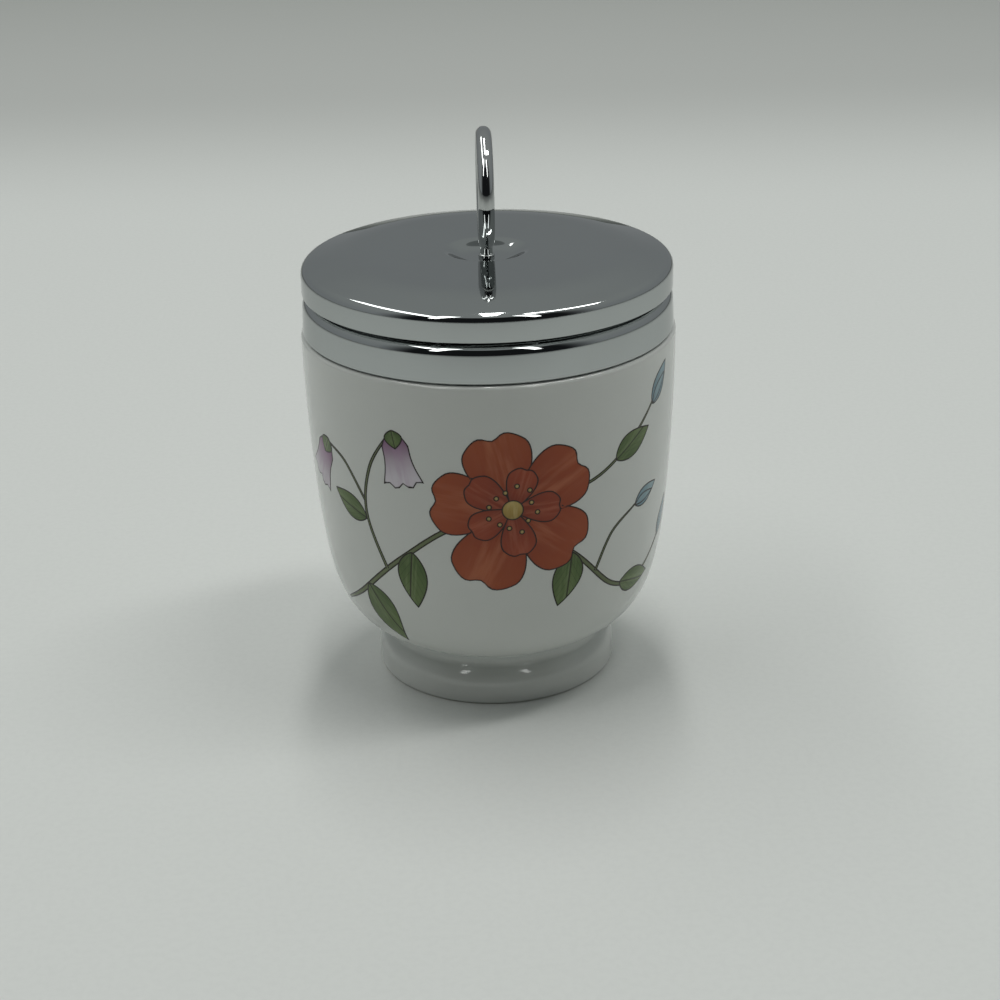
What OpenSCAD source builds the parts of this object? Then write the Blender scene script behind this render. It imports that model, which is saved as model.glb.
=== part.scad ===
// Porcelain egg coddler: a footed cup with a metal screw lid and a lifting ring.
// Millimetres, +Z up, the origin on the table at the middle of the foot.

/* [Lid] */
// Outer radius of the lid's skirt, from which every other radius at the mouth follows
lid_r = 29; // [25:0.5:36]
// Thickness of the lid's skirt
skirt_t = 0.85; // [0.6:0.05:1.3]
// Thickness of the lid's metal over the seal and in the crown
lid_t = 0.8; // [0.5:0.05:1.2]
// Radius of the rounded edge between the crown and the skirt
lid_edge_r = 1.4; // [0.8:0.1:1.8]
// Slope of the crown's conical margin, in degrees
crown_slope = 12.5; // [5:0.5:14]
// Radius of the flat middle of the crown
plateau_r = 19.5; // [12:0.5:20]
// Radial length of the arc that joins the flat middle to the margin
crown_blend = 5; // [3:0.5:6]
// Radius of the pressed dish that the lifting ring stands in
dish_r = 7; // [5:0.1:9]
// Depth of the dish
dish_depth = 1.3; // [0.8:0.1:2]
// Radius of the flat floor of the dish
dish_floor_r = 2; // [1.5:0.1:3]
// Rounding of the skirt's lower outer edge
skirt_edge_r = 0.35; // [0.1:0.05:0.5]

/* [Lifting ring] */
// Outer radius of the ring
ring_r = 9.4; // [7:0.1:12]
// Thickness of the ring's wire
ring_wire = 2.45; // [1.6:0.05:3]
// Height of the stem from the dish floor to the ring
stem_h = 1.5; // [1.2:0.05:4]
// Radius of the stem at its waist
stem_waist_r = 0.95; // [0.7:0.05:1.1]
// Radius of the shoulder at the stem's foot
stem_foot_r = 1.25; // [1.1:0.05:1.8]
// Height of that shoulder
stem_foot_h = 0.5; // [0.3:0.05:0.8]
// Turn of the ring from straight edge-on, in degrees
ring_turn = 1.5; // [-20:0.5:20]
// Radius of the shank that passes through the lid
shank_r = 0.85; // [0.6:0.05:0.9]
// Radius of the peened head under the washer
peen_r = 1.7; // [1.3:0.05:2.2]
// Height of the peened head
peen_h = 0.6; // [0.4:0.05:1]
// Radius of the washer
washer_r = 3.4; // [2.5:0.1:4]
// Thickness of the washer
washer_t = 0.6; // [0.4:0.05:1]

/* [Screw thread] */
// Axial distance from one turn to the next
thread_pitch = 1.8; // [1.6:0.05:2]
// Depth of the collar's ridge
thread_depth = 0.7; // [0.5:0.05:0.75]
// Axial width of a ridge at its root
ridge_root_w = 0.95; // [0.7:0.05:1]
// Axial width of a ridge at its crest
ridge_crest_w = 0.4; // [0.3:0.05:0.5]
// Height of the collar's threaded neck
thread_h = 3.1; // [2.8:0.05:3.4]

/* [Collar] */
// Thickness of the pressed collar
collar_t = 0.6; // [0.4:0.05:0.7]
// Height of the collar's band below its rounded shoulder
band_h = 4.3; // [3.5:0.1:7]
// Radius of the rounded shoulder
shoulder_r = 1.7; // [1.3:0.05:1.75]
// Outward flare of the band towards its lower edge
band_flare = 0.2; // [0:0.05:0.3]
// Thickness of the cement film between the collar's neck and the porcelain
cement_t = 0.3; // [0.2:0.05:0.5]

/* [Porcelain cup] */
// Height of the bowl from its crease with the foot to the ledge under the collar
bowl_h = 50; // [38:0.25:60]
// How far the bowl stands out past the lid
bowl_swell = 0.5; // [0.3:0.1:1.5]
// How much narrower the bowl grows towards its base
bowl_taper = 4.2; // [0:0.1:6]
// How far the bowl's rounded base runs on inside the foot
bowl_sink = 1.35; // [1:0.05:2.5]
// Radius of the rounded edge of the ledge
ledge_edge_r = 0.7; // [0.4:0.1:1.2]
// Thickness of the bowl's wall
wall = 3; // [2:0.1:4]
// Thickness of the porcelain between the cup's floor and the recess under it
floor_t = 3.6; // [2.5:0.1:5]
// Thickness of the neck at the mouth
mouth_t = 2.5; // [2.1:0.1:3]
// Rounding of the mouth's two edges
rim_edge_r = 0.8; // [0.3:0.1:0.9]
// How far the rim stands above the collar
rim_proud = 0.1; // [0.05:0.05:0.4]

/* [Foot] */
// Height of the foot up to its crease with the bowl
foot_h = 7.8; // [7.5:0.1:11]
// Height of the foot's widest place
foot_bulge_z = 2.9; // [2:0.1:4]
// How far the foot's widest place stands out past the crease
foot_flare = 1.85; // [1.5:0.05:2.6]
// Rounding of the foot's shoulder above its widest place
foot_shoulder_r = 3.9; // [2:0.1:4.2]
// How far that shoulder turns inwards before the cove under the bowl, in degrees
foot_shoulder_turn = 50; // [35:5:55]
// Radius of the foot's side below its widest place
foot_under_r = 60; // [20:5:80]
// Rounding of the foot's lower outer edge
foot_edge_r = 0.5; // [0.3:0.1:1]
// Width of the ring that the foot stands on, with its inner rounding
land_w = 2.4; // [1.6:0.1:4]
// Rounding of that ring's inner edge
land_edge_r = 0.5; // [0.2:0.1:0.8]
// Height of the recess under the foot
recess_h = 6; // [4.5:0.1:6.3]
// Rounding of the recess's upper corner
recess_edge_r = 1.2; // [0.5:0.1:2]

/* [Seal] */
// Thickness of the sealing ring
seal_t = 0.8; // [0.6:0.05:1.5]
// Radial width of the sealing ring
seal_w = 2.1; // [1.2:0.1:2.4]
// Rounding of the sealing ring's edges
seal_edge_r = 0.2; // [0.1:0.05:0.25]

/* [Clearances] */
// Gap under the skirt when the lid is screwed down
skirt_gap = 0.35; // [0.1:0.05:0.5]
// Radial gap between the collar's crest and the lid's bore
crest_gap = 0.2; // [0.15:0.05:0.3]
// Radial gap between the lid's crest and the collar's neck
root_gap = 0.15; // [0.15:0.05:0.3]
// Axial room above and below a ridge on its neck or in its bore
ridge_room = 0.05; // [0.05:0.01:0.1]
// Radial gap round the shank in the lid and the washer
shank_gap = 0.05; // [0.03:0.01:0.1]
// Radial room past the seal on the lid's seal land
land_room = 0.3; // [0.2:0.05:0.5]

/* [Hidden] */
$fn = 128;

// The bowl's outline: a body that tapers with the square of the depth and closes
// with a high power, so that its side is nearly straight and its base nearly flat.
BOWL_POWER = 10;
BOWL_ROOT = 1 / 4;
BOWL_STEPS = 40;
BOWL_CROWDING = 2.2;
// Height below and above the ledge over which the cavity narrows to the mouth
THROAT_BELOW = 8;
THROAT_ABOVE = 1;
THROAT_STEPS = 12;
// Segments in a quarter of a small rounding, in the foot's cove, and in the dish
ROUND_STEPS = 6;
COVE_STEPS = 6;
DISH_STEPS = 12;
// How much steeper the dish's wall is towards its lip than towards its floor
DISH_CROWDING = 1.6;
// Thread ridges: segments in a turn, depth sunk into the wall, and the faded ends
RIDGE_SEGMENTS = 60;
RIDGE_EMBED = 0.1;
RIDGE_FADE = 30;
RIDGE_STUB = 0.15;
// Share of the wire's radius that the stem flares to, and how deep the flare sinks in it
FLARE_SHARE = 0.85;
FLARE_SUNK = 0.2;
FLARE_STEPS = 6;

// Radii at the mouth, worked inwards from the lid's skirt
bore_r = lid_r - skirt_t;
thread_crest_r = bore_r - crest_gap;
thread_root_r = thread_crest_r - thread_depth;
lid_crest_r = thread_root_r + root_gap;
collar_bore_r = thread_root_r - collar_t;
neck_r = collar_bore_r - cement_t;
mouth_r = neck_r - mouth_t;
seal_mid_r = (neck_r + mouth_r) / 2;
seal_in_r = seal_mid_r - seal_w / 2;
seal_out_r = seal_mid_r + seal_w / 2;
bowl_r = lid_r + bowl_swell;
band_foot_r = lid_r + band_flare;
curl_r = collar_t;
curl_in_r = band_foot_r - 2 * curl_r;

// Heights, worked upwards from the table
ledge_z = foot_h + bowl_h;
curl_z = ledge_z + curl_r;
band_top_z = ledge_z + band_h;
shoulder_z = band_top_z + shoulder_r;
collar_top_z = shoulder_z + thread_h;
rim_z = collar_top_z + rim_proud;
seal_land_z = rim_z + seal_t;
lid_edge_z = seal_land_z + lid_t;
skirt_z = shoulder_z + skirt_gap;
cavity_z = recess_h + floor_t;

// The crown, worked inwards from the tangent point on the lid's rounded edge
edge_centre_r = lid_r - lid_edge_r;
edge_centre_z = lid_edge_z - lid_edge_r;
margin_r = edge_centre_r + lid_edge_r * sin(crown_slope);
margin_z = edge_centre_z + lid_edge_r * cos(crown_slope);
crown_arc_r = crown_blend / sin(crown_slope);
margin_top_z = margin_z + (margin_r - plateau_r - crown_blend) * tan(crown_slope);
plateau_z = margin_top_z + crown_arc_r * (1 - cos(crown_slope));
dish_z = plateau_z - dish_depth;

// The lifting ring and its fixing
wire_r = ring_wire / 2;
ring_bottom_z = dish_z + stem_h;
ring_centre_z = ring_bottom_z + ring_r;
wire_centre_z = ring_bottom_z + wire_r;
flare_r = wire_r * FLARE_SHARE;
flare_z = wire_centre_z - sqrt(wire_r * wire_r - flare_r * flare_r) + FLARE_SUNK;
waist_z = dish_z + 2 * stem_foot_h;
washer_top_z = dish_z - lid_t;
washer_z = washer_top_z - washer_t;
fixing_bore_r = shank_r + shank_gap;

// Outline of the bowl at depth share u, for an outline of radius r at its top
function bowl_radius(r, u) = (r - bowl_taper * u * u) * pow(1 - pow(u, BOWL_POWER), BOWL_ROOT);
bowl_drop = bowl_h + bowl_sink;
crease_u = bowl_h / bowl_drop;
crease_r = bowl_radius(bowl_r, crease_u);
cavity_drop = ledge_z - cavity_z;
foot_r = crease_r + foot_flare;

// Points of an arc about (r, z), from angle a to angle b
function arc(r, z, radius, a, b, steps = ROUND_STEPS) =
    [for (i = [0:steps])
        let (t = a + (b - a) * i / steps)
        [r + radius * cos(t), z + radius * sin(t)]];

// Points of a curve that leaves a and reaches c, drawn towards the corner b
function bend(a, b, c, steps) =
    [for (i = [0:steps])
        let (t = i / steps)
        (1 - t) * (1 - t) * a + 2 * t * (1 - t) * b + t * t * c];

// Depth shares from 0 to 1, crowded towards 1 where the outline turns in
function depth_share(i) = 1 - pow(1 - i / BOWL_STEPS, BOWL_CROWDING);

// A smooth step from 0 to 1
function ease(t) = t * t * (3 - 2 * t);

// Outer side of the bowl, from the crease up to the rounded edge of the ledge
function bowl_side() =
    [for (i = [BOWL_STEPS:-1:0])
        let (u = depth_share(i), z = ledge_z - u * bowl_drop)
        if (z > foot_h && z < ledge_z - ledge_edge_r)
            [bowl_radius(bowl_r, u), z]];

// Radius of the cavity at height z, narrowing to the mouth through the throat
function cavity_radius(z) =
    let (u = max(0, (ledge_z - z) / cavity_drop),
         t = min(1, max(0, (z - ledge_z + THROAT_BELOW) / (THROAT_BELOW + THROAT_ABOVE))),
         bowl = bowl_radius(bowl_r - wall, u))
    bowl + (mouth_r - bowl) * ease(t);

// Inner side of the cup, from the rim down to the middle of the floor
function cavity_side() = concat(
    [for (i = [0:THROAT_STEPS])
        let (z = ledge_z + THROAT_ABOVE - (THROAT_BELOW + THROAT_ABOVE) * i / THROAT_STEPS)
        [cavity_radius(z), z]],
    [for (i = [0:BOWL_STEPS])
        let (z = ledge_z - depth_share(i) * cavity_drop)
        if (z < ledge_z - THROAT_BELOW)
            [cavity_radius(z), z]]);

// The foot's side: a rounded shoulder at its widest place, a cove from there up to the
// crease, and a nearly upright arc down to the lower edge
shoulder_end = [foot_r - foot_shoulder_r * (1 - cos(foot_shoulder_turn)),
                foot_bulge_z + foot_shoulder_r * sin(foot_shoulder_turn)];
cove_z = min(foot_h, shoulder_end[1] + (shoulder_end[0] - crease_r) / tan(foot_shoulder_turn));
foot_under_angle = asin((foot_bulge_z - foot_edge_r) / foot_under_r);
land_out_r = foot_r - foot_under_r * (1 - cos(foot_under_angle)) - foot_edge_r;
recess_r = land_out_r - land_w;

// Glazed porcelain cup: recessed foot, bowl, ledge for the collar, and neck
module cup() {
    color("ghostwhite")
    rotate_extrude()
    polygon(concat(
        [[0, recess_h]],
        arc(recess_r - recess_edge_r, recess_h - recess_edge_r, recess_edge_r, 90, 0),
        arc(recess_r + land_edge_r, land_edge_r, land_edge_r, 180, 270),
        arc(land_out_r, foot_edge_r, foot_edge_r, -90, 0),
        arc(foot_r - foot_under_r, foot_bulge_z, foot_under_r, -foot_under_angle + 1, 0),
        arc(foot_r - foot_shoulder_r, foot_bulge_z, foot_shoulder_r, 5, foot_shoulder_turn - 5),
        bend(shoulder_end, [crease_r, cove_z], [crease_r, foot_h], COVE_STEPS),
        bowl_side(),
        arc(bowl_r - ledge_edge_r, ledge_z - ledge_edge_r, ledge_edge_r, 0, 90),
        [[neck_r, ledge_z]],
        arc(neck_r - rim_edge_r, rim_z - rim_edge_r, rim_edge_r, 0, 90),
        arc(mouth_r + rim_edge_r, rim_z - rim_edge_r, rim_edge_r, 90, 180),
        cavity_side()));
}

// Cement that fills the space between the collar and the porcelain neck
module neck_cement() {
    color("gainsboro")
    rotate_extrude()
    polygon(concat(
        [[neck_r, ledge_z],
         [curl_in_r, ledge_z],
         [curl_in_r, curl_z + curl_r],
         [lid_r - collar_t, curl_z + curl_r]],
        arc(lid_r - shoulder_r, band_top_z, shoulder_r - collar_t, 0, 90),
        [[collar_bore_r, shoulder_z - collar_t],
         [collar_bore_r, collar_top_z - rim_proud],
         [neck_r, collar_top_z - rim_proud]]));
}

// A helical ridge on a wall of radius root_r: it stands out to crest_r, starts at
// height z and angle start, and climbs one pitch a turn. Both ends fade into the wall.
module ridge(root_r, crest_r, z, start, turns) {
    depth = crest_r - root_r;
    base_r = root_r - RIDGE_EMBED * sign(depth);
    base_w = ridge_root_w + (ridge_root_w - ridge_crest_w) * RIDGE_EMBED / abs(depth);
    steps = ceil(turns * RIDGE_SEGMENTS);
    sweep = turns * 360;
    points = [for (i = [0:steps])
        let (angle = sweep * i / steps,
             height = min(1, RIDGE_STUB + (1 - RIDGE_STUB) * min(angle, sweep - angle) / RIDGE_FADE),
             crest = root_r + depth * height,
             crest_w = ridge_root_w + (ridge_crest_w - ridge_root_w) * height,
             mid = z + thread_pitch * angle / 360,
             c = cos(start + angle),
             s = sin(start + angle))
        each [[base_r * c, base_r * s, mid - base_w / 2],
              [crest * c, crest * s, mid - crest_w / 2],
              [crest * c, crest * s, mid + crest_w / 2],
              [base_r * c, base_r * s, mid + base_w / 2]]];
    sides = [for (i = [0:steps - 1], k = [0:3])
        let (a = 4 * i + k, b = 4 * i + (k + 1) % 4)
        each [[a, b, b + 4], [a, b + 4, a + 4]]];
    last = 4 * steps;
    ends = [[0, 2, 1], [0, 3, 2], [last, last + 1, last + 2], [last, last + 2, last + 3]];
    faces = concat(sides, ends);
    polyhedron(points, depth < 0 ? [for (f = faces) [f[2], f[1], f[0]]] : faces);
}

// Each ridge keeps its room above and below, and the lid's runs half a pitch from
// the collar's at every angle.
ridge_margin = ridge_root_w / 2 + ridge_room;
collar_ridge_z = shoulder_z + ridge_margin;
collar_ridge_turns = (thread_h - 2 * ridge_margin) / thread_pitch;
lid_ridge_z = skirt_z + ridge_margin;
lid_ridge_turns = (seal_land_z - skirt_z - 2 * ridge_margin) / thread_pitch;
lid_ridge_start = 360 * (lid_ridge_z - collar_ridge_z + thread_pitch / 2) / thread_pitch;

// Pressed metal collar: curled lower edge, flared band, rounded shoulder, threaded neck
module collar() {
    color("lightgray")
    union() {
        rotate_extrude()
        polygon(concat(
            arc(band_foot_r - curl_r, curl_z, curl_r, 90, 360, 2 * ROUND_STEPS),
            arc(lid_r - shoulder_r, band_top_z, shoulder_r, 0, 90),
            [[thread_root_r, shoulder_z],
             [thread_root_r, collar_top_z],
             [collar_bore_r, collar_top_z],
             [collar_bore_r, shoulder_z - collar_t]],
            arc(lid_r - shoulder_r, band_top_z, shoulder_r - collar_t, 90, 0)));
        ridge(thread_root_r, thread_crest_r, collar_ridge_z, 0, collar_ridge_turns);
    }
}

// Rubber ring between the porcelain rim and the lid
module lid_seal() {
    color("dimgray")
    rotate_extrude()
    polygon(concat(
        arc(seal_out_r - seal_edge_r, rim_z + seal_edge_r, seal_edge_r, -90, 0, 3),
        arc(seal_out_r - seal_edge_r, seal_land_z - seal_edge_r, seal_edge_r, 0, 90, 3),
        arc(seal_in_r + seal_edge_r, seal_land_z - seal_edge_r, seal_edge_r, 90, 180, 3),
        arc(seal_in_r + seal_edge_r, rim_z + seal_edge_r, seal_edge_r, 180, 270, 3)));
}

// Top of the crown from the fixing bore out to the margin: dish, flat middle and arc
function crown_line(drop) = concat(
    [[fixing_bore_r, dish_z - drop]],
    [for (i = [0:DISH_STEPS])
        let (t = i / DISH_STEPS)
        [dish_floor_r + (dish_r - dish_floor_r) * t,
         dish_z + dish_depth * (1 - cos(180 * pow(t, DISH_CROWDING))) / 2 - drop]],
    [for (p = arc(plateau_r, plateau_z - crown_arc_r, crown_arc_r, 90, 90 - crown_slope))
        [p[0], p[1] - drop]]);

// Height of the crown at radius r, outside the dish
function crown_z(r) = r > plateau_r + crown_blend
    ? margin_z + (margin_r - r) * tan(crown_slope)
    : plateau_z - crown_arc_r + sqrt(pow(crown_arc_r, 2) - pow(max(0, r - plateau_r), 2));

// The crown's underside, from the inner edge of the seal land in to the fixing bore
land_in_r = seal_in_r - land_room;
function crown_under() = concat(
    [[land_in_r, crown_z(land_in_r) - lid_t]],
    backwards([for (p = crown_line(lid_t)) if (p[0] < land_in_r) p]));

// The same points from last to first
function backwards(points) = [for (i = [len(points) - 1:-1:0]) points[i]];

// Chromed lid: dished crown, conical margin, rounded edge and threaded skirt
module lid_shell() {
    color("silver")
    union() {
        rotate_extrude()
        polygon(concat(
            crown_line(0),
            arc(edge_centre_r, edge_centre_z, lid_edge_r, 90 - crown_slope, 0),
            arc(lid_r - skirt_edge_r, skirt_z + skirt_edge_r, skirt_edge_r, 0, -90),
            [[bore_r, skirt_z],
             [bore_r, seal_land_z],
             [land_in_r, seal_land_z]],
            crown_under()));
        ridge(bore_r, lid_crest_r, lid_ridge_z, lid_ridge_start, lid_ridge_turns);
    }
}

// Chromed lifting ring with its stem and the shank that is peened under the lid
module lifting_ring() {
    color("silver")
    union() {
        translate([0, 0, ring_centre_z])
        rotate([90, 0, 90 + ring_turn])
        rotate_extrude()
        translate([ring_r - wire_r, 0])
        circle(wire_r);
        rotate_extrude()
        polygon(concat(
            [[0, washer_z - peen_h],
             [peen_r - peen_h / 2, washer_z - peen_h],
             [peen_r, washer_z - peen_h / 2],
             [peen_r, washer_z],
             [shank_r, washer_z],
             [shank_r, dish_z],
             [stem_foot_r, dish_z],
             [stem_foot_r, dish_z + stem_foot_h]],
            [for (i = [0:FLARE_STEPS])
                let (t = i / FLARE_STEPS)
                [stem_waist_r + (flare_r - stem_waist_r) * t * t, waist_z + (flare_z - waist_z) * t]],
            [[flare_r, wire_centre_z],
             [0, wire_centre_z]]));
    }
}

// Washer under the dish that the shank's head bears on
module rivet_washer() {
    color("darkgray")
    rotate_extrude()
    polygon([[fixing_bore_r, washer_z],
             [washer_r, washer_z],
             [washer_r, washer_top_z],
             [fixing_bore_r, washer_top_z]]);
}

cup();
neck_cement();
collar();
lid_seal();
lid_shell();
lifting_ring();
rivet_washer();
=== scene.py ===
# An egg coddler: a glazed porcelain cup with a printed spray of flowers, a plated
# metal collar, and a plated screw lid with an upright lifting ring.

import math
import random

import bpy
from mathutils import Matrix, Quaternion, Vector


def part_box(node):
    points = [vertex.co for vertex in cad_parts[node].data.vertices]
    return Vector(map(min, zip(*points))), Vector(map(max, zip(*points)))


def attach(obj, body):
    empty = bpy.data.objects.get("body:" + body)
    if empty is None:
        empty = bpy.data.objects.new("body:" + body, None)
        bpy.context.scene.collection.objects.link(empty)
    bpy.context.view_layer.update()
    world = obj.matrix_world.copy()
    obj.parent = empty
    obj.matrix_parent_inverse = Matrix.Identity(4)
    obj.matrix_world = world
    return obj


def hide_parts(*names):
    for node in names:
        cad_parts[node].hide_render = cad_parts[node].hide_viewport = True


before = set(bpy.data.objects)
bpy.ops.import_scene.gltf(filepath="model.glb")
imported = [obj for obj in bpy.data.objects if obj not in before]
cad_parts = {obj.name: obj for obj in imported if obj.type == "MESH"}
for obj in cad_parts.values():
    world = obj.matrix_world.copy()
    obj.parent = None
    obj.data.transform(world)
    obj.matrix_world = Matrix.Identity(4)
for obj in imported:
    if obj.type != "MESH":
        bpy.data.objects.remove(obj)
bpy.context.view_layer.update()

# ---------------------------------------------------------------- The porcelain cup
# Slip-cast white porcelain under a clear glaze: a recessed foot, a full round bowl
# and a neck that the metal collar hides. The ring it stands on is wiped bare.

MM = 0.001
TURN_STEPS = 288
ROUND_STEPS = 10
SHOULDER_STEPS = 16
COVE_STEPS = 12
SMALL_STEPS = 6
BOWL_STEPS = 90
CAVITY_STEPS = 60
THROAT_STEPS = 20
CROWDING = 2.4
SHARP_TURN = 40

_, cup_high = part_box("cup")
collar_low, collar_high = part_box("collar")
bowl_r = cup_high.x
rim_z = cup_high.z
ledge_z = collar_low.z
collar_top_z = collar_high.z

bowl_taper = 4.2 * MM
bowl_power = 10
bowl_root = 1 / 4
foot_h = 7.8 * MM
bowl_sink = 1.35 * MM
bowl_drop = ledge_z - foot_h + bowl_sink
foot_bulge_z = 2.9 * MM
foot_flare = 1.85 * MM
foot_shoulder_r = 3.9 * MM
foot_shoulder_start = 3
foot_shoulder_turn = 50
foot_under_r = 60 * MM
foot_under_gap = 1
foot_edge_r = 0.5 * MM
land_w = 2.4 * MM
land_edge_r = 0.5 * MM
recess_h = 6.0 * MM
recess_edge_r = 1.2 * MM
crease_glaze = 0.2 * MM
ledge_edge_r = 0.7 * MM
rim_edge_r = 0.8 * MM
wall = 3.0 * MM
cavity_z = 9.6 * MM
throat_below = 8.0 * MM
throat_above = 1.0 * MM
axis_r = 0.001 * MM
neck_r = 26.35 * MM
mouth_r = 23.85 * MM


def arc(r, z, radius, start, end, steps=ROUND_STEPS):
    """Points (r, z) of an arc about (r, z), between two angles in degrees."""
    turns = [math.radians(start + (end - start) * i / steps) for i in range(steps + 1)]
    return [(r + radius * math.cos(t), z + radius * math.sin(t)) for t in turns]


def bowl_radius(top_r, share):
    """Radius of the bowl's outline at a share of its depth, for a radius at its top."""
    share = min(1.0, max(0.0, share))
    return (top_r - bowl_taper * share**2) * (1 - share**bowl_power) ** bowl_root


def side_radius(z):
    """Outer radius of the bowl at height z."""
    return bowl_radius(bowl_r, (ledge_z - z) / bowl_drop)


def cavity_radius(z):
    """Inner radius of the cup at height z: the bowl's outline, drawn in to the mouth."""
    bowl = bowl_radius(bowl_r - wall, (ledge_z - z) / (ledge_z - cavity_z))
    share = (z - ledge_z + throat_below) / (throat_below + throat_above)
    share = min(1.0, max(0.0, share))
    return bowl + (mouth_r - bowl) * share * share * (3 - 2 * share)


def crowded(steps):
    """Shares from 0 to 1 that crowd towards 1, where an outline turns in."""
    return [1 - (1 - i / steps) ** CROWDING for i in range(steps + 1)]


def bend(a, b, c, steps):
    """Points of a smooth bend from a to c that is drawn towards b."""
    shares = [i / steps for i in range(steps + 1)]
    return [
        tuple((1 - t) ** 2 * p + 2 * t * (1 - t) * q + t**2 * r for p, q, r in zip(a, b, c))
        for t in shares
    ]


def cup_outline():
    """Half section of the cup, from the recess under the foot round to its floor."""
    crease_r = side_radius(foot_h)
    foot_r = crease_r + foot_flare
    under_angle = math.degrees(math.asin((foot_bulge_z - foot_edge_r) / foot_under_r))
    land_out_r = foot_r - foot_under_r * (1 - math.cos(math.radians(under_angle))) - foot_edge_r
    recess_r = land_out_r - land_w
    outline = [(0.0, recess_h)]
    outline += arc(recess_r - recess_edge_r, recess_h - recess_edge_r, recess_edge_r, 90, 0)
    outline += arc(recess_r + land_edge_r, land_edge_r, land_edge_r, 180, 270)
    outline += arc(land_out_r, foot_edge_r, foot_edge_r, -90, 0)
    under_start = foot_under_gap - under_angle
    outline += arc(foot_r - foot_under_r, foot_bulge_z, foot_under_r, under_start, 0)
    outline += arc(
        foot_r - foot_shoulder_r,
        foot_bulge_z,
        foot_shoulder_r,
        foot_shoulder_start,
        foot_shoulder_turn,
        SHOULDER_STEPS,
    )
    turn_r, turn_z = outline[-1]
    cove_z = turn_z + (turn_r - crease_r) / math.tan(math.radians(foot_shoulder_turn))
    glaze_low = (crease_r, foot_h - crease_glaze)
    outline += bend(outline[-1], (crease_r, cove_z), glaze_low, COVE_STEPS)[1:]
    glaze_top_z = foot_h + crease_glaze
    glaze_top = (side_radius(glaze_top_z), glaze_top_z)
    outline += bend(outline[-1], (crease_r, foot_h), glaze_top, SMALL_STEPS)[1:]
    depths = [ledge_z - share * bowl_drop for share in crowded(BOWL_STEPS)]
    sides = [z for z in reversed(depths) if glaze_top_z < z < ledge_z - ledge_edge_r]
    outline += [(side_radius(z), z) for z in sides]
    outline += arc(bowl_r - ledge_edge_r, ledge_z - ledge_edge_r, ledge_edge_r, 0, 90)
    outline += [(neck_r, ledge_z)]
    outline += arc(neck_r - rim_edge_r, rim_z - rim_edge_r, rim_edge_r, 0, 90)
    outline += arc(mouth_r + rim_edge_r, rim_z - rim_edge_r, rim_edge_r, 90, 180)
    throat_h = throat_above + throat_below
    throat = [ledge_z + throat_above - throat_h * i / THROAT_STEPS for i in range(THROAT_STEPS + 1)]
    floor = [ledge_z - share * (ledge_z - cavity_z) for share in crowded(CAVITY_STEPS)]
    inside = throat + [z for z in floor if z < throat[-1]]
    outline += [(cavity_radius(z), z) for z in inside]
    return outline


def turned(outline, closed=False):
    """Vertices and faces of a half section (r, z) turned about the Z axis."""
    points, faces, rings = [], [], []
    for r, z in outline:
        if r < axis_r:
            rings.append([len(points)] * TURN_STEPS)
            points.append((0.0, 0.0, z))
            continue
        rings.append(list(range(len(points), len(points) + TURN_STEPS)))
        for k in range(TURN_STEPS):
            turn = math.tau * k / TURN_STEPS
            points.append((r * math.cos(turn), r * math.sin(turn), z))
    pairs = list(zip(rings, rings[1:]))
    if closed:
        pairs.append((rings[-1], rings[0]))
    for low, high in pairs:
        for k in range(TURN_STEPS):
            n = (k + 1) % TURN_STEPS
            face = list(dict.fromkeys([low[k], low[n], high[n], high[k]]))
            if len(face) > 2:
                faces.append(face)
    return points, faces


def piece(name, points, faces, material):
    """A smooth-shaded object, sharp only where its faces meet at more than SHARP_TURN."""
    mesh = bpy.data.meshes.new(name)
    mesh.from_pydata(points, [], faces)
    mesh.validate()
    mesh.shade_smooth()
    mesh.set_sharp_from_angle(angle=math.radians(SHARP_TURN))
    mesh.materials.append(material)
    made = bpy.data.objects.new(name, mesh)
    bpy.context.scene.collection.objects.link(made)
    return made


def node(tree, kind, inputs=None, **settings):
    """A node with its settings, its input values, and links from other nodes' outputs."""
    made = tree.nodes.new(kind)
    for name, value in settings.items():
        setattr(made, name, value)
    for key, value in (inputs or {}).items():
        if isinstance(value, bpy.types.NodeSocket):
            tree.links.new(value, made.inputs[key])
        else:
            made.inputs[key].default_value = value
    return made


def math_node(tree, operation, a, b=0.0):
    """The output of one Math node."""
    return node(tree, "ShaderNodeMath", {0: a, 1: b}, operation=operation).outputs[0]


def between(tree, value, low, high, out_low=0.0, out_high=1.0):
    """Value mapped smoothly from one range to another, and held at both ends."""
    ranged = node(
        tree,
        "ShaderNodeMapRange",
        {"Value": value, "From Min": low, "From Max": high, "To Min": out_low, "To Max": out_high},
        interpolation_type="SMOOTHSTEP",
    )
    return ranged.outputs["Result"]


def mixed(tree, share, a, b):
    """The colour output of a Mix node, whose colour sockets are found by number."""
    made = node(tree, "ShaderNodeMix", {"Factor": share}, data_type="RGBA")
    for key, value in ((6, a), (7, b)):
        if isinstance(value, bpy.types.NodeSocket):
            tree.links.new(value, made.inputs[key])
        else:
            made.inputs[key].default_value = (*value, 1.0)
    return made.outputs[2]


def effect_group(name, inputs, outputs):
    """An empty shader node group with named sockets, and its input and output nodes."""
    group = bpy.data.node_groups.new(name, "ShaderNodeTree")
    for socket, kind, value in inputs:
        made = group.interface.new_socket(name=socket, in_out="INPUT", socket_type=kind)
        if value is not None:
            made.default_value = value
    for socket, kind in outputs:
        group.interface.new_socket(name=socket, in_out="OUTPUT", socket_type=kind)
    return group, node(group, "NodeGroupInput"), node(group, "NodeGroupOutput")


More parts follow.
